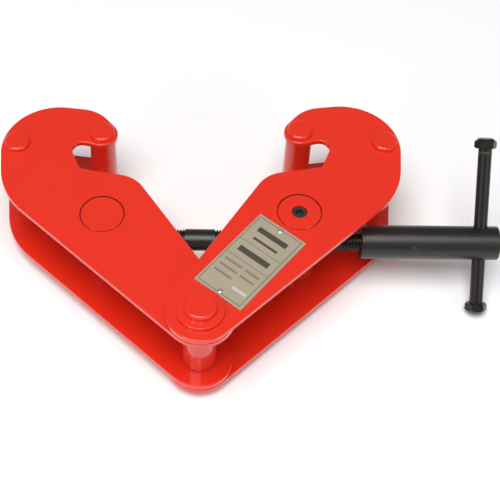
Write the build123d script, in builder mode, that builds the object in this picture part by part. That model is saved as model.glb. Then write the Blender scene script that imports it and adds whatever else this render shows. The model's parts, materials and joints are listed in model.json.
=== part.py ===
"""Adjustable beam clamp for hanging a hoist from the bottom flange of a steel beam.

Two hooked arms, each a pair of flat plates held apart by round bars, cross at a load pin.
A spindle with a left-hand and a right-hand thread runs through a trunnion nut in each arm,
so turning its tommy bar opens or closes the jaws round the flange.

Frame, in millimetres: origin on the load pin's axis at mid-width, +X towards the spindle's
handle, +Y towards the jaws (up, when the clamp hangs), +Z along the pin.
"""

import os
from math import cos, radians, sin, tan

from build123d import *

# Overall sizes
OVERALL_WIDTH = 64.0  # over the outer faces of the outer plates
PLATE_THICKNESS = 4.0
PLATE_STEP_GAP = 0.4  # side play between an outer plate and the inner plate beside it
ARM_ANGLE = 39.7  # each arm's lean from the mid-plane, as the clamp lies at rest

# Plate outline, in the arm's own frame: x from the load pin to the trunnion, y inwards
TRUNNION_REACH = 100.8  # load pin to trunnion nut
PIN_END_RADIUS = 22.1
EDGE_TAPER = 7.0  # the two long edges widen by this much each, in degrees
JAW_AHEAD, JAW_INSET = 55.5, 41.8  # jaw bar, beyond the trunnion nut and inwards
SHOULDER_AHEAD, SHOULDER_OUTSET = 29.4, 8.1  # shoulder bar, beyond the jaw bar and outwards
NOSE_RIM = 1.7  # width of the round hook tip outside the jaw bar
CROWN_DISTANCE = 20.5  # jaw bar to the sloping edge over the crown
SHOULDER_DISTANCE = 11.4  # shoulder bar to the edge beside it
JAW_OPENING = 22.3  # flange slot, from the hook tip to the seat below it
JAW_DEPTH = 24.0  # jaw bar to the closed end of the flange slot
SHOULDER_HEADING, CROWN_HEADING = 34.2, 137.0
THROAT_HEADING, SLOT_END_HEADING, SEAT_HEADING = 324.3, 198.3, 139.6
HIP_RADIUS = 52.0
SHOULDER_RADIUS = 38.5
CROWN_RADIUS = 25.0
THROAT_RADIUS = 6.6
SEAT_CORNER_RADIUS = 4.0
HEEL_RADIUS = 22.0
PLATE_EDGE_FILLET = 0.7

# Round bars across each arm, riveted over outside the plates
JAW_BAR_DIAMETER = 18.0
SHOULDER_BAR_DIAMETER = 14.0
TENON_DIAMETER = 10.0
RIVET_HEAD_DIAMETER = 17.3
RIVET_HEAD_HEIGHT = 3.0
RIVET_HEAD_FILLET = 2.0
FITTED_CLEARANCE = 0.02  # radial, for pieces that stay put

# Load pin, its washers and the sleeve that the hoist hangs from
PIN_DIAMETER = 16.0
PIN_HEAD_DIAMETER = 20.6
PIN_HEAD_HEIGHT = 4.2
PIN_HEAD_FILLET = 1.8
WASHER_DIAMETER = 30.6
WASHER_THICKNESS = 2.6
WASHER_FILLET = 0.6
SLEEVE_DIAMETER = 22.3
SLEEVE_END_PLAY = 0.4
SLEEVE_EDGE_CHAMFER = 0.5
RUNNING_CLEARANCE = 0.06  # radial, for pieces that turn or slide

# Trunnion nuts
TRUNNION_DIAMETER = 29.0
TRUNNION_EDGE_CHAMFER = 0.7

# Spindle: crest cylinders stand for the threads
THREAD_DIAMETER = 14.0
THREAD_START = 92.0  # free end of the spindle, from its middle
COLLAR_RISE = 0.3  # collar over the thread, radial
COLLAR_LENGTH = 20.0
COLLAR_END_PLAY = 0.1
COLLAR_WALL = 1.3
SPINDLE_END_CHAMFER = 1.5
HEAD_START = 107.4  # middle of the spindle to the near end of its head
HEAD_LENGTH = 92.6
HEAD_DIAMETER = 22.7
HEAD_EDGE_CHAMFER = 0.5
SOCKET_DEPTH = 30.0  # how far the spindle goes into its head

# Tommy bar
BAR_DIAMETER = 9.0
BAR_LENGTH = 118.7  # over both hexagon heads
BAR_HOLE_CLEARANCE = 0.3  # radial
BAR_INSET = 11.7  # bar's axis to the outer end of the spindle head
BAR_LEAN = 42.0  # turned from upright, away from the mid-plane, in degrees
BAR_OFFSET = 11.35  # how far the bar is slid through its hole
HEX_ACROSS_FLATS = 13.0
HEX_THICKNESS = 6.4
HEX_CHAMFER_ANGLE = 30.0
HEX_END_DIAMETER = 9.6  # flat left on a hexagon's outer face
HEX_END_ANGLE = 40.0  # slope from that flat down to the corners
BAR_END_STEP = 0.5  # radial, from the bar down to the threaded end that carries the nut

# Lock screw in the outer trunnion nut
LOCK_SCREW_DIAMETER = 10.0
LOCK_SCREW_RECESS = 0.6
LOCK_SCREW_TRAVEL = 0.8  # inward, until it meets the spindle
LOCK_SCREW_CHAMFER = 0.8
LOCK_SOCKET_ACROSS_FLATS = 5.0
LOCK_SOCKET_DEPTH = 4.0

# Nameplate
NAMEPLATE_WIDTH = 37.0
NAMEPLATE_THICKNESS = 0.8
NAMEPLATE_WASHER_GAP = 0.2
NAMEPLATE_NUT_GAP = 3.8
NAMEPLATE_OFFSET = 0.5  # away from the mid-plane
NAMEPLATE_RIVET_INSET = 3.0
NAMEPLATE_RIVET_DIAMETER = 3.6
NAMEPLATE_RIVET_HEIGHT = 1.0
NAMEPLATE_RIVET_FILLET = 0.8
NAMEPLATE_RIVET_SHANK = 2.0

# Places worked out from the sizes above
JAW_REACH = TRUNNION_REACH + JAW_AHEAD
SHOULDER_REACH = JAW_REACH + SHOULDER_AHEAD
NOSE_RADIUS = JAW_BAR_DIAMETER / 2 + NOSE_RIM
OUTER_FACE = OVERALL_WIDTH / 2
OUTER_INSIDE = OUTER_FACE - PLATE_THICKNESS
INNER_FACE = OUTER_INSIDE - PLATE_STEP_GAP
INNER_INSIDE = INNER_FACE - PLATE_THICKNESS
OUTER_ARM, INNER_ARM = 1, -1  # also the side of the mid-plane that the arm lies on
SPINDLE_HEIGHT = TRUNNION_REACH * cos(radians(ARM_ANGLE))
TRUNNION_OFFSET = TRUNNION_REACH * sin(radians(ARM_ANGLE))
COLLAR_RADIUS = THREAD_DIAMETER / 2 + COLLAR_RISE
BAR_AT = HEAD_START + HEAD_LENGTH - BAR_INSET
BAR_END_RADIUS = BAR_DIAMETER / 2 - BAR_END_STEP
SPINDLE_AXIS = Plane(origin=(0, SPINDLE_HEIGHT, 0), x_dir=(0, 1, 0), z_dir=(1, 0, 0))
BAR_DIRECTION = Vector(0, sin(radians(BAR_LEAN)), cos(radians(BAR_LEAN)))
BAR_SIDE = Vector(1, 0, 0).cross(BAR_DIRECTION)


def heading(angle):
    """Unit vector at an angle in degrees."""
    return Vector(cos(radians(angle)), sin(radians(angle)))


def edge_line(centre, distance, angle):
    """A straight edge with the given heading that passes a centre at a distance on its left."""
    direction = heading(angle)
    return Vector(*centre) - heading(angle + 90) * distance, direction


def meet(first, second):
    """The point where two straight edges cross."""
    (start, along), (other, across) = first, second
    gap = other - start
    reach = (gap.X * across.Y - gap.Y * across.X) / (along.X * across.Y - along.Y * across.X)
    return start + along * reach


def arm_plane(side, z):
    """The plane of an arm at height z: x from the load pin to the trunnion nut."""
    lean = radians(ARM_ANGLE)
    return Plane(origin=(0, 0, z), x_dir=(side * sin(lean), cos(lean), 0), z_dir=(0, 0, 1))


def arm_spots(side):
    """Centres of the load pin, trunnion nut, jaw bar and shoulder bar in the arm's plane."""
    pin, trunnion = (0, 0), (TRUNNION_REACH, 0)
    return pin, trunnion, (JAW_REACH, side * JAW_INSET), (SHOULDER_REACH, -side * SHOULDER_OUTSET)


def plate_corners():
    """Sharp corners of the plate outline with the radius that rounds each one."""
    pin, _, jaw, shoulder = arm_spots(OUTER_ARM)
    edges = [
        (edge_line(pin, PIN_END_RADIUS, -EDGE_TAPER), HIP_RADIUS),
        (edge_line(shoulder, SHOULDER_DISTANCE, SHOULDER_HEADING), SHOULDER_RADIUS),
        (edge_line(jaw, CROWN_DISTANCE, CROWN_HEADING), CROWN_RADIUS),
        (edge_line(jaw, NOSE_RADIUS, 180), NOSE_RADIUS),
        (edge_line(jaw, NOSE_RADIUS, THROAT_HEADING), THROAT_RADIUS),
        (edge_line(jaw, -JAW_DEPTH, SLOT_END_HEADING), SEAT_CORNER_RADIUS),
        (edge_line(jaw, -NOSE_RADIUS - JAW_OPENING, SEAT_HEADING), HEEL_RADIUS),
        (edge_line(pin, PIN_END_RADIUS, 180 + EDGE_TAPER), PIN_END_RADIUS),
    ]
    lines = [line for line, _ in edges]
    followers = lines[1:] + lines[:1]
    return [meet(*pair) for pair in zip(lines, followers)], [radius for _, radius in edges]


def hooked_plate(side, low_z, pin_clearance):
    """One arm plate, its lower face at low_z, with holes for the pin, nut and bars."""
    corners, radii = plate_corners()
    outline = [(corner.X, side * corner.Y) for corner in corners]
    pin, trunnion, jaw, shoulder = arm_spots(side)
    with BuildPart() as plate:
        with BuildSketch(arm_plane(side, low_z)):
            with BuildLine():
                FilletPolyline(*outline, radius=radii, close=True)
            make_face()
        extrude(amount=PLATE_THICKNESS)
        faces = plate.faces().filter_by(Axis.Z)
        fillet(faces.edges(), PLATE_EDGE_FILLET)
        with BuildSketch(arm_plane(side, low_z)):
            with Locations(pin):
                Circle(PIN_DIAMETER / 2 + pin_clearance)
            with Locations(trunnion):
                Circle(TRUNNION_DIAMETER / 2 + RUNNING_CLEARANCE)
            with Locations(jaw, shoulder):
                Circle(TENON_DIAMETER / 2 + FITTED_CLEARANCE)
        extrude(amount=PLATE_THICKNESS, mode=Mode.SUBTRACT)
    return plate


def riveted_bar(side, spot, diameter, inside, face):
    """A round bar between two plates, its tenons riveted over outside them."""
    with BuildPart() as bar:
        with BuildSketch(arm_plane(side, 0)):
            with Locations(spot):
                Circle(diameter / 2)
        extrude(amount=inside, both=True)
        with BuildSketch(arm_plane(side, 0)):
            with Locations(spot):
                Circle(TENON_DIAMETER / 2)
        extrude(amount=face, both=True)
        for end in (1, -1):
            with BuildSketch(arm_plane(side, end * face)):
                with Locations(spot):
                    Circle(RIVET_HEAD_DIAMETER / 2)
            extrude(amount=end * RIVET_HEAD_HEIGHT)
        rims = bar.faces().filter_by(Axis.Z).sort_by(Axis.Z)
        fillet(rims[0].edges() + rims[-1].edges(), RIVET_HEAD_FILLET)
    return bar


def trunnion_nut(side, face):
    """A round cross bar, flush with its arm's outer faces, threaded across for the spindle."""
    trunnion = arm_spots(side)[1]
    with BuildPart() as nut:
        with BuildSketch(arm_plane(side, 0)):
            with Locations(trunnion):
                Circle(TRUNNION_DIAMETER / 2)
        extrude(amount=face, both=True)
        ends = nut.faces().filter_by(Axis.Z)
        chamfer(ends.edges(), TRUNNION_EDGE_CHAMFER)
        with BuildSketch(SPINDLE_AXIS.offset(side * TRUNNION_OFFSET)):
            Circle(THREAD_DIAMETER / 2 + RUNNING_CLEARANCE)
        extrude(amount=TRUNNION_DIAMETER, both=True, mode=Mode.SUBTRACT)
    return nut


def pin_disc(low_z, diameter, thickness, edge_fillet):
    """A washer on the load pin, its outer rims rounded."""
    with BuildPart() as washer:
        with BuildSketch(Plane.XY.offset(low_z)):
            Circle(diameter / 2)
        extrude(amount=thickness)
        fillet(washer.edges().filter_by(GeomType.CIRCLE), edge_fillet)
        with BuildSketch(Plane.XY.offset(low_z)):
            Circle(PIN_DIAMETER / 2 + FITTED_CLEARANCE)
        extrude(amount=thickness, mode=Mode.SUBTRACT)
    return washer


def bar_plane(distance, z_dir=BAR_DIRECTION):
    """A plane at a distance along the tommy bar from the spindle's axis."""
    centre = Vector(BAR_AT, SPINDLE_HEIGHT, 0) + BAR_DIRECTION * distance
    return Plane(origin=centre, x_dir=(1, 0, 0), z_dir=z_dir)


def hexagon_head(end, inward):
    """A hexagon inwards from an end of the tommy bar, turned down most at its outer rim."""
    corner = HEX_ACROSS_FLATS / 2 / cos(radians(30))
    outer_drop = (corner - HEX_END_DIAMETER / 2) * tan(radians(HEX_END_ANGLE))
    inner_drop = (corner - HEX_ACROSS_FLATS / 2) * tan(radians(HEX_CHAMFER_ANGLE))
    cone = [
        (0, 0),
        (HEX_END_DIAMETER / 2, 0),
        (corner, outer_drop),
        (corner, HEX_THICKNESS - inner_drop),
        (HEX_ACROSS_FLATS / 2, HEX_THICKNESS),
        (0, HEX_THICKNESS),
    ]
    with BuildPart() as head:
        with BuildSketch(bar_plane(end, BAR_DIRECTION * inward)):
            RegularPolygon(corner, 6)
        extrude(amount=HEX_THICKNESS)
        with BuildSketch(bar_plane(end, BAR_SIDE * inward)):
            with BuildLine():
                Polyline(*cone, close=True)
            make_face()
        revolve(axis=Axis(bar_plane(end).origin, BAR_DIRECTION), mode=Mode.INTERSECT)
    return head


# Arms: two plates each, held apart by a jaw bar and a shoulder bar
arm_parts = []
for name, side, inside, pin_clearance in (
    ("outer", OUTER_ARM, OUTER_INSIDE, FITTED_CLEARANCE),
    ("inner", INNER_ARM, INNER_INSIDE, RUNNING_CLEARANCE),
):
    face = inside + PLATE_THICKNESS
    _, _, jaw_spot, shoulder_spot = arm_spots(side)
    front_plate = hooked_plate(side, inside, pin_clearance)
    back_plate = hooked_plate(side, -face, pin_clearance)
    jaw_bar = riveted_bar(side, jaw_spot, JAW_BAR_DIAMETER, inside, face)
    shoulder_bar = riveted_bar(side, shoulder_spot, SHOULDER_BAR_DIAMETER, inside, face)
    arm_parts += [
        (f"{name}_front_plate", front_plate),
        (f"{name}_back_plate", back_plate),
        (f"{name}_jaw_bar", jaw_bar),
        (f"{name}_shoulder_bar", shoulder_bar),
    ]

# Load pin, riveted over a washer at each end, tight in the outer plates
WASHER_FACE = OUTER_FACE + WASHER_THICKNESS
with BuildPart() as load_pin:
    with BuildSketch():
        Circle(PIN_DIAMETER / 2)
    extrude(amount=WASHER_FACE, both=True)
    for end in (1, -1):
        with BuildSketch(Plane.XY.offset(end * WASHER_FACE)):
            Circle(PIN_HEAD_DIAMETER / 2)
        extrude(amount=end * PIN_HEAD_HEIGHT)
    rims = load_pin.faces().filter_by(Axis.Z).sort_by(Axis.Z)
    fillet(rims[0].edges() + rims[-1].edges(), PIN_HEAD_FILLET)

front_pin_washer = pin_disc(OUTER_FACE, WASHER_DIAMETER, WASHER_THICKNESS, WASHER_FILLET)
back_pin_washer = pin_disc(-WASHER_FACE, WASHER_DIAMETER, WASHER_THICKNESS, WASHER_FILLET)

# Sleeve that turns on the load pin between the inner plates
with BuildPart() as suspension_sleeve:
    with BuildSketch():
        Circle(SLEEVE_DIAMETER / 2)
        Circle(PIN_DIAMETER / 2 + RUNNING_CLEARANCE, mode=Mode.SUBTRACT)
    extrude(amount=INNER_INSIDE - SLEEVE_END_PLAY, both=True)
    rims = suspension_sleeve.edges().filter_by(GeomType.CIRCLE).group_by(SortBy.RADIUS)[-1]
    chamfer(rims, SLEEVE_EDGE_CHAMFER)

# Trunnion nuts; the outer one also takes the lock screw in its front end
LOCK_SCREW_TOP = OUTER_FACE - LOCK_SCREW_RECESS
LOCK_SCREW_TIP = THREAD_DIAMETER / 2 + RUNNING_CLEARANCE + LOCK_SCREW_TRAVEL
inner_trunnion_nut = trunnion_nut(INNER_ARM, INNER_FACE)
with BuildPart() as outer_trunnion_nut:
    add(trunnion_nut(OUTER_ARM, OUTER_FACE).part)
    with BuildSketch(Plane.XY):
        with Locations((TRUNNION_OFFSET, SPINDLE_HEIGHT)):
            Circle(LOCK_SCREW_DIAMETER / 2 + RUNNING_CLEARANCE)
    extrude(amount=OUTER_FACE, mode=Mode.SUBTRACT)

with BuildPart() as lock_screw:
    with BuildSketch(Plane.XY.offset(LOCK_SCREW_TIP)):
        with Locations((TRUNNION_OFFSET, SPINDLE_HEIGHT)):
            Circle(LOCK_SCREW_DIAMETER / 2)
    extrude(amount=LOCK_SCREW_TOP - LOCK_SCREW_TIP)
    chamfer(lock_screw.edges().filter_by(GeomType.CIRCLE), LOCK_SCREW_CHAMFER)
    with BuildSketch(Plane.XY.offset(LOCK_SCREW_TOP)):
        with Locations((TRUNNION_OFFSET, SPINDLE_HEIGHT)):
            RegularPolygon(LOCK_SOCKET_ACROSS_FLATS / 2, 6, major_radius=False)
    extrude(amount=-LOCK_SOCKET_DEPTH, mode=Mode.SUBTRACT)

# Spindle, waisted at its middle for the collar, its right end inside the head
with BuildPart() as spindle:
    with BuildSketch(SPINDLE_AXIS.offset(-THREAD_START)):
        Circle(THREAD_DIAMETER / 2)
    extrude(amount=THREAD_START + HEAD_START + SOCKET_DEPTH)
    chamfer(spindle.faces().sort_by(Axis.X)[0].edges(), SPINDLE_END_CHAMFER)
    with BuildSketch(SPINDLE_AXIS):
        Circle(THREAD_DIAMETER / 2)
        Circle(COLLAR_RADIUS - COLLAR_WALL - RUNNING_CLEARANCE, mode=Mode.SUBTRACT)
    extrude(amount=COLLAR_LENGTH / 2 + COLLAR_END_PLAY, both=True, mode=Mode.SUBTRACT)

with BuildPart() as spindle_collar:
    with BuildSketch(SPINDLE_AXIS):
        Circle(COLLAR_RADIUS)
        Circle(COLLAR_RADIUS - COLLAR_WALL, mode=Mode.SUBTRACT)
    extrude(amount=COLLAR_LENGTH / 2, both=True)

with BuildPart() as spindle_head:
    with BuildSketch(SPINDLE_AXIS.offset(HEAD_START)):
        Circle(HEAD_DIAMETER / 2)
    extrude(amount=HEAD_LENGTH)
    ends = spindle_head.faces().filter_by(Axis.X)
    chamfer(ends.edges(), HEAD_EDGE_CHAMFER)
    with BuildSketch(SPINDLE_AXIS.offset(HEAD_START)):
        Circle(THREAD_DIAMETER / 2 + FITTED_CLEARANCE)
    extrude(amount=SOCKET_DEPTH, mode=Mode.SUBTRACT)
    with BuildSketch(bar_plane(0)):
        Circle(BAR_DIAMETER / 2 + BAR_HOLE_CLEARANCE)
    extrude(amount=HEAD_DIAMETER, both=True, mode=Mode.SUBTRACT)

# Tommy bar: one hexagon is the bar's own head, the other is a nut on its threaded end
BAR_TOP = BAR_OFFSET + BAR_LENGTH / 2
BAR_FOOT = BAR_OFFSET - BAR_LENGTH / 2
with BuildPart() as tommy_bar:
    with BuildSketch(bar_plane(BAR_FOOT + HEX_THICKNESS)):
        Circle(BAR_DIAMETER / 2)
    extrude(amount=BAR_LENGTH - 2 * HEX_THICKNESS)
    with BuildSketch(bar_plane(BAR_FOOT)):
        Circle(BAR_END_RADIUS)
    extrude(amount=BAR_LENGTH / 2)
    add(hexagon_head(BAR_TOP, -1).part)

with BuildPart() as tommy_bar_nut:
    add(hexagon_head(BAR_FOOT, 1).part)
    with BuildSketch(bar_plane(BAR_FOOT)):
        Circle(BAR_END_RADIUS + FITTED_CLEARANCE)
    extrude(amount=HEX_THICKNESS, mode=Mode.SUBTRACT)

# Nameplate, riveted to the outer front plate along the arm's own axis
NAMEPLATE_START = WASHER_DIAMETER / 2 + NAMEPLATE_WASHER_GAP
NAMEPLATE_END = TRUNNION_REACH - TRUNNION_DIAMETER / 2 - NAMEPLATE_NUT_GAP
NAMEPLATE_LENGTH = NAMEPLATE_END - NAMEPLATE_START
NAMEPLATE_MIDDLE = ((NAMEPLATE_START + NAMEPLATE_END) / 2, -NAMEPLATE_OFFSET)
RIVET_SPACING = NAMEPLATE_LENGTH - 2 * NAMEPLATE_RIVET_INSET
RIVET_SEAT = OUTER_FACE + NAMEPLATE_THICKNESS
with BuildPart() as nameplate:
    with BuildSketch(arm_plane(OUTER_ARM, OUTER_FACE)):
        with Locations(NAMEPLATE_MIDDLE):
            Rectangle(NAMEPLATE_LENGTH, NAMEPLATE_WIDTH)
            with GridLocations(RIVET_SPACING, 0, 2, 1):
                Circle(NAMEPLATE_RIVET_SHANK / 2 + FITTED_CLEARANCE, mode=Mode.SUBTRACT)
    extrude(amount=NAMEPLATE_THICKNESS)

with BuildPart() as nameplate_rivets:
    with BuildSketch(arm_plane(OUTER_ARM, OUTER_FACE)):
        with Locations(NAMEPLATE_MIDDLE):
            with GridLocations(RIVET_SPACING, 0, 2, 1):
                Circle(NAMEPLATE_RIVET_SHANK / 2)
    extrude(amount=NAMEPLATE_THICKNESS)
    with BuildSketch(arm_plane(OUTER_ARM, RIVET_SEAT)):
        with Locations(NAMEPLATE_MIDDLE):
            with GridLocations(RIVET_SPACING, 0, 2, 1):
                Circle(NAMEPLATE_RIVET_DIAMETER / 2)
    extrude(amount=NAMEPLATE_RIVET_HEIGHT)
    tops = nameplate_rivets.faces().filter_by(Axis.Z).group_by(Axis.Z)[-1]
    fillet(tops.edges(), NAMEPLATE_RIVET_FILLET)

parts = arm_parts + [
    ("load_pin", load_pin),
    ("front_pin_washer", front_pin_washer),
    ("back_pin_washer", back_pin_washer),
    ("suspension_sleeve", suspension_sleeve),
    ("inner_trunnion_nut", inner_trunnion_nut),
    ("outer_trunnion_nut", outer_trunnion_nut),
    ("lock_screw", lock_screw),
    ("spindle", spindle),
    ("spindle_collar", spindle_collar),
    ("spindle_head", spindle_head),
    ("tommy_bar", tommy_bar),
    ("tommy_bar_nut", tommy_bar_nut),
    ("nameplate", nameplate),
    ("nameplate_rivets", nameplate_rivets),
]

os.makedirs("parts", exist_ok=True)
for name, piece in parts:
    piece.part.label = name
    export_step(piece.part, f"parts/{name}.step")
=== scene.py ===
"""Beam clamp: the looks of its pieces, a plain floor, soft studio light and the camera.

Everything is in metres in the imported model's frame: origin on the load pin's axis, +X towards
the tommy bar, +Y towards the jaws, +Z along the pin.
"""

import json
from functools import reduce
from math import atan2, cos, pi, radians, sin

import bmesh
import bpy
from mathutils import Matrix, Vector


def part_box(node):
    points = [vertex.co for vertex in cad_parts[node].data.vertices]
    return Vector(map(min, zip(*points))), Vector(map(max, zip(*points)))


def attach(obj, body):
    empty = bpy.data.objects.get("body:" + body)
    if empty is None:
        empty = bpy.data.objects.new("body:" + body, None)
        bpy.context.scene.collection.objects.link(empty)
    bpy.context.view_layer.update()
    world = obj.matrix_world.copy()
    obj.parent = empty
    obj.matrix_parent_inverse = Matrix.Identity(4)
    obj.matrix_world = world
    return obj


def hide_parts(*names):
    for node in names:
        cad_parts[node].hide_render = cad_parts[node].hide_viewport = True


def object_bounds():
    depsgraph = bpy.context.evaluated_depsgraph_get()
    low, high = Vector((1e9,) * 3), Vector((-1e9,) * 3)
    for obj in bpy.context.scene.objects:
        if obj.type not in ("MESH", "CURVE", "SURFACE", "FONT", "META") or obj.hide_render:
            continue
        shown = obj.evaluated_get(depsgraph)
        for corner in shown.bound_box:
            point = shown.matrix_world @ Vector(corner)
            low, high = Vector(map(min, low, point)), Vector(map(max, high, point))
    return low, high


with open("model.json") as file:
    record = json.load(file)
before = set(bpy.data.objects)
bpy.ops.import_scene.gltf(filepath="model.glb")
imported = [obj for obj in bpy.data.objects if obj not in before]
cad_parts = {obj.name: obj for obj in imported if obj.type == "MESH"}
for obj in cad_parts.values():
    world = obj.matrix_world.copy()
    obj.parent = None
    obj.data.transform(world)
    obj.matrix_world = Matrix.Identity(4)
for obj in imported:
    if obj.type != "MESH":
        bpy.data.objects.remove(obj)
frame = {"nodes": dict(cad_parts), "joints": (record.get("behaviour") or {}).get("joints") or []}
cad_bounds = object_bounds()

MM = 0.001
nodes = frame["nodes"]
joints = {joint["name"]: joint for joint in frame["joints"]}

# Camera
CAMERA_ELEVATION = radians(54.036)
CAMERA_HEADING = radians(1.152)
CAMERA_ROLL = radians(1.575)
CAMERA_FOCAL_LENGTH = 88.93
CAMERA_SENSOR = 36.0
CAMERA_SHIFT = 0.0986
CAMERA_PLACE = (-0.00924, -0.41522, 0.66766)

# Thread of the spindle
THREAD_PITCH = 2.0 * MM
THREAD_DEPTH = 0.9 * MM
THREAD_STEPS = 32  # corners in one turn
THREAD_END_CHAMFER = 1.5 * MM
WAIST_DEPTH = 1.36 * MM  # collar's outside down to the spindle's waist
COLLAR_END_PLAY = 0.1 * MM
CUT_TOLERANCE = 0.001 * MM
MERGE_DISTANCE = 0.01 * MM

# Marks on the paint
GROOVE_HALF_WIDTH = 0.5 * MM  # painted shade in the gap round each trunnion nut
GROOVE_FADE_START, GROOVE_FADE_END = 0.4 * MM, 0.9 * MM  # down the nut's side
CHIP_PLACE = (21.5 * MM, 4.5 * MM, -24 * MM)  # on the inner arm's back plate
CHIP_RADIUS = 1.2 * MM
BACK_GRIME_HEIGHT, BACK_GRIME_RADIUS = -31 * MM, 14.5 * MM  # back washer and pin head
FOOT_SHADE_GRIME_HEIGHT, FOOT_SHADE_GRIME_RADIUS = -21.8 * MM, 11 * MM  # painted shade with some grime at the foot of the sleeve

# Painted highlight: a pale ring round the tommy bar, under its upper end
HIGHLIGHT_RING_WIDTH = 1.6 * MM
HIGHLIGHT_RING_INSET = 9.2 * MM  # from the bar's upper end

# Print on the nameplate: rows as shares of its length from the end nearest the nut
PRINT_INSET = 1.9 * MM
PRINT_LINE = 0.2 * MM  # half the width of a line
PRINT_SOFTNESS = 0.1 * MM
PRINT_DIVIDERS = (0.345, 0.55)
# plain dark bars: row, half height, half width
PRINT_BARS = (
    (0.155, 2.1 * MM, 11.5 * MM),
    (0.270, 1.0 * MM, 9.5 * MM),
    (0.445, 2.3 * MM, 12.0 * MM),
)
# small bars: row, half width, offset across the plate
PRINT_SMALL_BARS = (
    (0.62, 7.0 * MM, 7 * MM),
    (0.62, 5.5 * MM, -8 * MM),
    (0.70, 7.0 * MM, 7 * MM),
    (0.70, 5.5 * MM, -8 * MM),
    (0.78, 7.0 * MM, 7 * MM),
)
PRINT_SMALL_HALF_HEIGHT = 0.9 * MM
STAMP_ROW, STAMP_OFFSET = 0.845, -9.5 * MM
STAMP_HALF_HEIGHT, STAMP_HALF_WIDTH = 1.1 * MM, 5.5 * MM

# Studio
FLOOR_SIZE = 3.0  # half its side
FLOOR_GAP = 0.2 * MM  # under the lowest point of the clamp
AMBIENT_STRENGTH = 0.22


# ---------------------------------------------------------------- shader arithmetic


class Value:
    """A shader socket that can be used in arithmetic; each operation adds a Math node."""

    def __init__(self, finish, socket):
        self.finish, self.socket = finish, socket

    def math(self, operation, *others, clamp=False):
        settings = {"operation": operation, "use_clamp": clamp}
        return self.finish.add("ShaderNodeMath", settings, dict(enumerate((self, *others))))

    def __add__(self, other):
        return self.math("ADD", other)

    def __sub__(self, other):
        return self.math("SUBTRACT", other)

    def __mul__(self, other):
        return self.math("MULTIPLY", other)

    def __rsub__(self, other):
        return (self * -1.0).math("ADD", other)

    __radd__ = __add__
    __rmul__ = __mul__

    def __abs__(self):
        return self.math("ABSOLUTE")


class Finish:
    """A procedural material, built node by node on object coordinates."""

    def __init__(self, name, **constants):
        self.material = bpy.data.materials.new(name)
        self.material.use_nodes = True
        self.tree = self.material.node_tree
        self.tree.nodes.clear()
        self.place = self.add("ShaderNodeTexCoord", {}, {}, "Object")
        self.shader = self.tree.nodes.new("ShaderNodeBsdfPrincipled")
        for socket, value in constants.items():
            self.shader.inputs[socket.replace("_", " ")].default_value = value
        output = self.tree.nodes.new("ShaderNodeOutputMaterial")
        self.tree.links.new(self.shader.outputs[0], output.inputs[0])

    def add(self, kind, settings, sockets, output=0):
        """Adds a node: its settings first, then the values or links of its sockets."""
        node = self.tree.nodes.new(kind)
        for setting, value in settings.items():
            setattr(node, setting, value)
        for name, value in sockets.items():
            self.feed(node.inputs[name], value)
        return Value(self, node.outputs[output])

    def feed(self, socket, value):
        if isinstance(value, Value):
            self.tree.links.new(value.socket, socket)
        else:
            socket.default_value = value

    def drive(self, name, value):
        """Connects a varying value to one socket of the surface shader."""
        self.feed(self.shader.inputs[name], value)

    def noise(self, grain, detail=2.0, roughness=0.5):
        """Noise from 0 to 1 with features about a grain across, in metres."""
        sockets = {"Vector": self.place, "Scale": 1 / grain, "Detail": detail, "Roughness": roughness}
        return self.add("ShaderNodeTexNoise", {}, sockets, "Fac")

    def ramp(self, value, low, high):
        """0 below low, 1 above high and smooth between them."""
        sockets = {"Value": value, "From Min": low, "From Max": high}
        return self.add("ShaderNodeMapRange", {"interpolation_type": "SMOOTHSTEP"}, sockets)

    def mix(self, share, first, second):
        """A blend of two colours."""
        sockets = {0: share, 6: first, 7: second}
        return self.add("ShaderNodeMix", {"data_type": "RGBA"}, sockets, 2)

    def along(self, direction):
        """Distance from the origin along a direction."""
        sockets = {0: self.place, 1: direction}
        return self.add("ShaderNodeVectorMath", {"operation": "DOT_PRODUCT"}, sockets, "Value")

    def bump(self, height, depth, strength=1.0):
        """Sets the surface's bump from a height of 0 to 1, its depth in metres."""
        sockets = {"Strength": strength, "Distance": depth, "Height": height}
        self.drive("Normal", self.add("ShaderNodeBump", {}, sockets, "Normal"))


# ---------------------------------------------------------------- finishes


def red_paint(name, spots=()):
    """Glossy red enamel with a slight orange peel; each spot adds dirt or a shadow to it."""
    paint = Finish(name, Specular_IOR_Level=0.15, Coat_Weight=1.0, Coat_Roughness=0.05, Coat_IOR=1.5)
    cloud = paint.noise(24 * MM, 3.0)
    colour = paint.mix(cloud, (0.80, 0.028, 0.008, 1), (0.72, 0.021, 0.008, 1))
    peel = paint.noise(2.2 * MM, 2.0)
    dust = paint.noise(0.5 * MM, 3.0)
    roughness = 0.34 + cloud * 0.10 + dust * 0.06
    for mask, dirt, dullness in spots:
        share = mask(paint)
        colour = paint.mix(share, colour, dirt)
        roughness = roughness + share * dullness
    paint.drive("Base Color", colour)
    paint.drive("Roughness", roughness)
    paint.bump(peel + dust * 0.15, 0.05 * MM, 0.35)
    return paint.material


def reach_from(finish, centre):
    """Distance in the plane of the plates from a point to the surface."""
    sockets = {0: finish.place, 1: (-centre[0], -centre[1], 0)}
    moved = finish.add("ShaderNodeVectorMath", {"operation": "ADD"}, sockets)
    level = finish.add("ShaderNodeVectorMath", {"operation": "MULTIPLY"}, {0: moved, 1: (1, 1, 0)})
    return finish.add("ShaderNodeVectorMath", {"operation": "LENGTH"}, {0: level}, "Value")


def ring_shadow(centre, radius, face, half_width):
    """Painted shade in the groove of a radius round a point, on both faces of an arm."""

    def mask(finish):
        gap = abs(reach_from(finish, centre) - radius)
        depth = abs(finish.along((0, 0, 1)))
        shallow = finish.ramp(depth, face - GROOVE_FADE_END, face - GROOVE_FADE_START)
        return shallow * (1 - finish.ramp(gap, half_width * 0.4, half_width))

    return mask, (0.16, 0.002, 0.008, 1), 0.1


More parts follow.
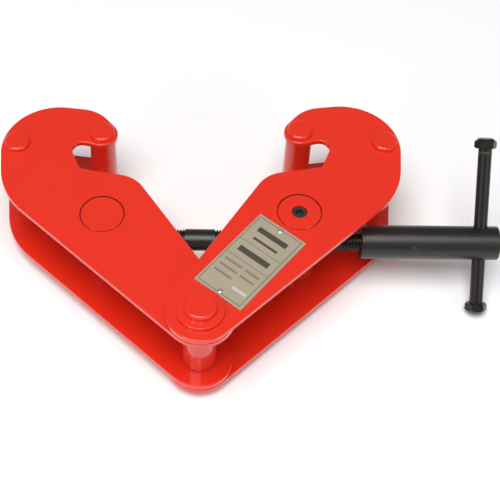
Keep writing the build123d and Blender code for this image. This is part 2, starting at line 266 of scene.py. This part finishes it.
def grime_and_shade_rim(height, radius):
    """Darker, duller colour below a height, out towards the rim of something round: dirt and scuffs,
    and at the sleeve's foot painted shade as well.
    """

    def mask(finish):
        near = 1 - finish.ramp(finish.along((0, 0, 1)), height - 1 * MM, height + 1 * MM)
        rim = finish.ramp(reach_from(finish, (0, 0)), radius - 1.2 * MM, radius)
        return near * rim * finish.ramp(finish.noise(4 * MM, 5.0, 0.7), 0.48, 0.64)

    return mask, (0.16, 0.045, 0.022, 1), 0.35


def paint_chip(centre, radius):
    """A small chip down to dark steel."""

    def mask(finish):
        sockets = {0: finish.place, 1: [-place for place in centre]}
        moved = finish.add("ShaderNodeVectorMath", {"operation": "ADD"}, sockets)
        reach = finish.add("ShaderNodeVectorMath", {"operation": "LENGTH"}, {0: moved}, "Value")
        ragged = reach + (finish.noise(1.2 * MM, 3.0) - 0.5) * radius
        return 1 - finish.ramp(ragged, radius * 0.6, radius)

    return mask, (0.02, 0.018, 0.018, 1), 0.2


def black_steel(name, grain=0.9 * MM, polish=0.0, shine=0.5, bumps=0.08 * MM, highlight_ring=None):
    """Satin black oxide: dark, speckled where the light catches it, worn in small patches.

    The ring is a painted highlight: a pale band round a bar, given as the bar's direction and a place
    along it.
    """
    steel = Finish(name, Specular_IOR_Level=shine)
    mottle = steel.noise(grain, 4.0, 0.65)
    cloud = steel.noise(14 * MM, 2.0)
    wear_and_highlight = steel.ramp(steel.noise(5 * MM, 6.0, 0.75), 0.60, 0.74)
    # painted highlight: a pale band round the bar, mixed in with the wear
    if highlight_ring:
        direction, place = highlight_ring
        gap = abs(steel.along(direction) - place)
        wear_and_highlight = wear_and_highlight.math("MAXIMUM", 1 - steel.ramp(gap, HIGHLIGHT_RING_WIDTH * 0.2, HIGHLIGHT_RING_WIDTH * 0.5))
    light = (0.020 + polish, 0.018 + polish, 0.014 + polish, 1)
    colour = steel.mix(mottle, (0.006, 0.006, 0.005, 1), light)
    steel.drive("Base Color", steel.mix(wear_and_highlight * 0.7, colour, (0.085, 0.078, 0.068, 1)))
    steel.drive("Roughness", 0.17 + cloud * 0.10 + mottle * 0.16 + wear_and_highlight * 0.2 - polish)
    steel.bump(mottle, bumps, 0.7)
    return steel.material


def plate_print(name, middle, length, width, lean):
    """Taupe anodised sheet with a printed border, dividers and plain bars in place of words."""
    sheet = Finish(name, Specular_IOR_Level=0.5)
    along = sheet.along((sin(lean), cos(lean), 0)) - middle
    across = sheet.along((-cos(lean), sin(lean), 0))

    def inside(value, half):
        """1 where a value lies within half of zero, soft at the edge."""
        return ((half - abs(value)) * (1 / PRINT_SOFTNESS)).math("MULTIPLY", 1.0, clamp=True)

    def spot(share):
        """Distance along the sheet from a printed row."""
        return along - length * (0.5 - share)

    def either(first, second):
        return first.math("MAXIMUM", second)

    frame_length, frame_width = length / 2 - PRINT_INSET, width / 2 - PRINT_INSET
    within = inside(along, frame_length + PRINT_LINE) * inside(across, frame_width + PRINT_LINE)
    hollow = inside(along, frame_length - PRINT_LINE) * inside(across, frame_width - PRINT_LINE)
    ink = within - hollow
    for share in PRINT_DIVIDERS:
        ink = either(ink, inside(spot(share), PRINT_LINE) * inside(across, frame_width))
    for share, half_height, half_width in PRINT_BARS:
        ink = either(ink, inside(spot(share), half_height) * inside(across, half_width))
    rows = [
        inside(spot(share), PRINT_SMALL_HALF_HEIGHT) * inside(across - offset, half_width)
        for share, half_width, offset in PRINT_SMALL_BARS
    ]
    faint = reduce(either, rows)
    stamp = inside(spot(STAMP_ROW), STAMP_HALF_HEIGHT) * inside(across - STAMP_OFFSET, STAMP_HALF_WIDTH)
    grain = sheet.noise(0.35 * MM, 3.0, 0.7)
    cloud = sheet.noise(18 * MM, 2.0)
    tone = sheet.mix(grain, (0.40, 0.335, 0.235, 1), (0.50, 0.43, 0.315, 1))
    tone = sheet.mix(cloud * 0.25, tone, (0.56, 0.50, 0.40, 1))
    tone = sheet.mix(faint * 0.5, tone, (0.09, 0.07, 0.05, 1))
    tone = sheet.mix(stamp * 0.6, tone, (0.80, 0.78, 0.72, 1))
    tone = sheet.mix(ink * 0.9, tone, (0.03, 0.022, 0.022, 1))
    sheet.drive("Base Color", tone)
    sheet.drive("Metallic", 0.35 - ink * 0.35)
    sheet.drive("Roughness", 0.42 + grain * 0.15 - ink * 0.1)
    sheet.bump(grain + ink * 0.4, 0.03 * MM, 0.5)
    return sheet.material


def bright_aluminium(name):
    """Bright drive rivets, slightly hammered."""
    metal = Finish(name, Metallic=1.0)
    dents = metal.noise(0.8 * MM, 2.0)
    metal.drive("Base Color", metal.mix(dents, (0.80, 0.79, 0.76, 1), (0.92, 0.91, 0.88, 1)))
    metal.drive("Roughness", 0.22 + dents * 0.15)
    metal.bump(dents, 0.06 * MM, 0.6)
    return metal.material


def floor_finish(name):
    """Plain pale matt floor."""
    floor = Finish(name, Roughness=0.9, Specular_IOR_Level=0.1)
    cloud = floor.noise(0.4, 2.0)
    floor.drive("Base Color", floor.mix(cloud, (0.985, 0.985, 0.985, 1), (0.995, 0.995, 0.995, 1)))
    return floor.material


def paint_over(name, material):
    """Gives a CAD node's every material slot one finish."""
    mesh = nodes[name].data
    if not mesh.materials:
        mesh.materials.append(material)
    for index in range(len(mesh.materials)):
        mesh.materials[index] = material


# ---------------------------------------------------------------- new pieces


def finished_piece(name, bm, material, body, smooth_angle):
    """Turns a bmesh, already in its place, into an object that rides on a body."""
    mesh = bpy.data.meshes.new(name)
    bm.to_mesh(mesh)
    bm.free()
    mesh.shade_smooth()
    mesh.set_sharp_from_angle(angle=smooth_angle)
    mesh.materials.append(material)
    piece = bpy.data.objects.new(name, mesh)
    bpy.context.scene.collection.objects.link(piece)
    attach(piece, body)
    return piece


def add_thread(bm, start, end, radius, hand):
    """A threaded rod about the X axis; hand is 1 for a right-hand thread and -1 for left."""
    flat, flank = THREAD_PITCH / 8, THREAD_PITCH * 5 / 16
    root = radius - THREAD_DEPTH
    steps = [(0, root), (2 * flat, root), (2 * flat + flank, radius), (3 * flat + flank, radius)]
    profile = steps + [(THREAD_PITCH, root)]
    thread = bmesh.new()
    verts = [thread.verts.new((start - 2 * THREAD_PITCH + x, r, 0)) for x, r in profile]
    edges = [thread.edges.new(pair) for pair in zip(verts, verts[1:])]
    turns = round((end - start) / THREAD_PITCH) + 4
    bmesh.ops.spin(
        thread,
        geom=verts + edges,
        cent=(0, 0, 0),
        axis=(1, 0, 0),
        dvec=(THREAD_PITCH / THREAD_STEPS, 0, 0),
        angle=hand * turns * 2 * pi,
        steps=turns * THREAD_STEPS,
        use_merge=False,
    )
    bmesh.ops.remove_doubles(thread, verts=thread.verts[:], dist=MERGE_DISTANCE)
    for place, normal in ((start, (-1, 0, 0)), (end, (1, 0, 0))):
        everything = thread.verts[:] + thread.edges[:] + thread.faces[:]
        bmesh.ops.bisect_plane(
            thread,
            geom=everything,
            dist=CUT_TOLERANCE,
            plane_co=(place, 0, 0),
            plane_no=normal,
            clear_outer=True,
        )
    rims = [edge for edge in thread.edges if edge.is_boundary]
    bmesh.ops.holes_fill(thread, edges=rims, sides=0)
    bmesh.ops.recalc_face_normals(thread, faces=thread.faces[:])
    join(bm, thread)


def join(bm, other):
    """Adds one bmesh to another and frees it."""
    mesh = bpy.data.meshes.new("joining")
    other.to_mesh(mesh)
    other.free()
    bm.from_mesh(mesh)
    bpy.data.meshes.remove(mesh)


def add_rod(bm, start, end, radius, segments=48):
    """A plain round rod about the X axis."""
    matrix = Matrix.Translation(((start + end) / 2, 0, 0)) @ Matrix.Rotation(pi / 2, 4, "Y")
    bmesh.ops.create_cone(
        bm,
        cap_ends=True,
        segments=segments,
        radius1=radius,
        radius2=radius,
        depth=end - start,
        matrix=matrix,
    )


def threaded_spindle(material):
    """The spindle with its two threads, its waist under the collar and its plain right end."""
    low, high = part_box("spindle")
    collar_low, collar_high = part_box("spindle_collar")
    head_low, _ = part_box("spindle_head")
    height, radius = (low.y + high.y) / 2, (high.z - low.z) / 2
    waist_start, waist_end = collar_low.x - COLLAR_END_PLAY, collar_high.x + COLLAR_END_PLAY
    waist_radius = (collar_high.z - collar_low.z) / 2 - WAIST_DEPTH
    bm = bmesh.new()
    add_thread(bm, low.x, waist_start, radius, -1)
    add_thread(bm, waist_end, head_low.x, radius, 1)
    for vert in bm.verts:
        reach = vert.co.yz.length
        limit = radius - THREAD_END_CHAMFER + (vert.co.x - low.x)
        if reach > limit:
            vert.co.yz = vert.co.yz * (limit / reach)
    add_rod(bm, waist_start, waist_end, waist_radius)
    add_rod(bm, head_low.x, high.x, radius)
    bmesh.ops.translate(bm, vec=(0, height, 0), verts=bm.verts[:])
    piece = finished_piece("threaded_spindle", bm, material, "spindle", radians(25))
    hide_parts("spindle")


# ---------------------------------------------------------------- the clamp

nut_shadows = {}
for arm in ("outer", "inner"):
    nut_low, nut_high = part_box(f"{arm}_trunnion_nut")
    nut_place = joints[f"{arm}_nut_turn"]["pos_m"]
    nut_radius = (nut_high.x - nut_low.x) / 2
    nut_shadows[arm] = ring_shadow(nut_place, nut_radius, nut_high.z, GROOVE_HALF_WIDTH)
chip = paint_chip(CHIP_PLACE, CHIP_RADIUS)
back_grime = grime_and_shade_rim(BACK_GRIME_HEIGHT, BACK_GRIME_RADIUS)
# painted shade, with some grime, where the sleeve's foot meets the plate
foot_shade_and_grime = grime_and_shade_rim(FOOT_SHADE_GRIME_HEIGHT, FOOT_SHADE_GRIME_RADIUS)
paint = red_paint("red enamel")
worn_paint = red_paint("red enamel, worn rim", [back_grime])
sleeve_paint = red_paint("red enamel, sleeve", [foot_shade_and_grime])
arm_paint = {
    "outer": red_paint("red enamel, outer arm", [nut_shadows["outer"]]),
    "inner": red_paint("red enamel, inner arm", [nut_shadows["inner"], chip]),
}
oxide = black_steel("black oxide", 0.7 * MM, bumps=0.2 * MM)
oxide_thread = black_steel("black oxide, threads", 0.5 * MM)
bar_direction = Vector(joints["tommy_slide"]["axis"])
bar_end = max(vert.co.dot(bar_direction) for vert in nodes["tommy_bar"].data.vertices)
# painted highlight ring just under the bar's upper end
bar_highlight_ring = (bar_direction, bar_end - HIGHLIGHT_RING_INSET)
oxide_bar = black_steel("black oxide, bar", 0.5 * MM, shine=0.35, highlight_ring=bar_highlight_ring)
screw_steel = black_steel("black oxide, rubbed", 0.4 * MM, 0.05)

for arm, arm_finish in arm_paint.items():
    for part in ("front_plate", "back_plate", "trunnion_nut"):
        paint_over(f"{arm}_{part}", arm_finish)
    for part in ("jaw_bar", "shoulder_bar"):
        paint_over(f"{arm}_{part}", paint)
paint_over("front_pin_washer", paint)
paint_over("suspension_sleeve", sleeve_paint)
for name in ("load_pin", "back_pin_washer"):
    paint_over(name, worn_paint)
for name in ("spindle_head", "spindle_collar"):
    paint_over(name, oxide)
for name in ("tommy_bar", "tommy_bar_nut"):
    paint_over(name, oxide_bar)
paint_over("lock_screw", screw_steel)
paint_over("nameplate_rivets", bright_aluminium("bright aluminium"))

outer_nut_place = joints["outer_nut_turn"]["pos_m"]
arm_lean = atan2(outer_nut_place[0], outer_nut_place[1])
arm_direction = Vector((sin(arm_lean), cos(arm_lean), 0))
across_direction = Vector((-cos(arm_lean), sin(arm_lean), 0))
corners = [vert.co for vert in nodes["nameplate"].data.vertices]
reaches = [corner.dot(arm_direction) for corner in corners]
sides = [corner.dot(across_direction) for corner in corners]
sheet_length, sheet_width = max(reaches) - min(reaches), max(sides) - min(sides)
sheet_middle = (max(reaches) + min(reaches)) / 2
paint_over("nameplate", plate_print("printed sheet", sheet_middle, sheet_length, sheet_width, arm_lean))

threaded_spindle(oxide_thread)

# ---------------------------------------------------------------- floor, light and camera

lowest = cad_bounds[0]
bm = bmesh.new()
bmesh.ops.create_grid(bm, x_segments=1, y_segments=1, size=FLOOR_SIZE)
bmesh.ops.translate(bm, vec=(0, 0, lowest.z - FLOOR_GAP), verts=bm.verts[:])
floor_mesh = bpy.data.meshes.new("floor")
bm.to_mesh(floor_mesh)
bm.free()
floor_mesh.materials.append(floor_finish("pale floor"))
floor = bpy.data.objects.new("floor", floor_mesh)
bpy.context.scene.collection.objects.link(floor)


def softbox(name, place, target, size, power):
    """A square area light that faces a target."""
    light = bpy.data.lights.new(name, "AREA")
    light.size = size
    light.energy = power
    lamp = bpy.data.objects.new(name, light)
    lamp.location = place
    lamp.rotation_euler = (Vector(target) - Vector(place)).to_track_quat("-Z", "Y").to_euler()
    bpy.context.scene.collection.objects.link(lamp)


softbox("overhead", (-0.2, -0.45, 2.0), (0, 0.08, 0), 1.3, 41)
softbox("left", (-1.25, -1.0, 0.7), (0, 0, 0), 0.8, 4)
softbox("right", (1.25, -1.0, 0.7), (0, 0, 0), 0.8, 4)

world = bpy.data.worlds.new("studio")
world.use_nodes = True
background = world.node_tree.nodes["Background"]
background.inputs["Color"].default_value = (1, 1, 1, 1)
background.inputs["Strength"].default_value = AMBIENT_STRENGTH
bpy.context.scene.world = world
bpy.context.scene.view_settings.view_transform = "Standard"

forward = Vector(
    (
        sin(CAMERA_HEADING) * cos(CAMERA_ELEVATION),
        cos(CAMERA_HEADING) * cos(CAMERA_ELEVATION),
        -sin(CAMERA_ELEVATION),
    )
)
right = forward.cross(Vector((0, 0, 1))).normalized()
turned = Matrix((right, right.cross(forward), -forward)).transposed().to_4x4()
camera_data = bpy.data.cameras.new("camera")
camera_data.sensor_width = CAMERA_SENSOR
camera_data.lens = CAMERA_FOCAL_LENGTH
camera_data.shift_x = CAMERA_SHIFT
camera_data.clip_start, camera_data.clip_end = 0.05, 20
camera = bpy.data.objects.new("camera", camera_data)
camera.matrix_world = Matrix.Translation(CAMERA_PLACE) @ turned @ Matrix.Rotation(CAMERA_ROLL, 4, "Z")
bpy.context.scene.collection.objects.link(camera)
bpy.context.scene.camera = camera
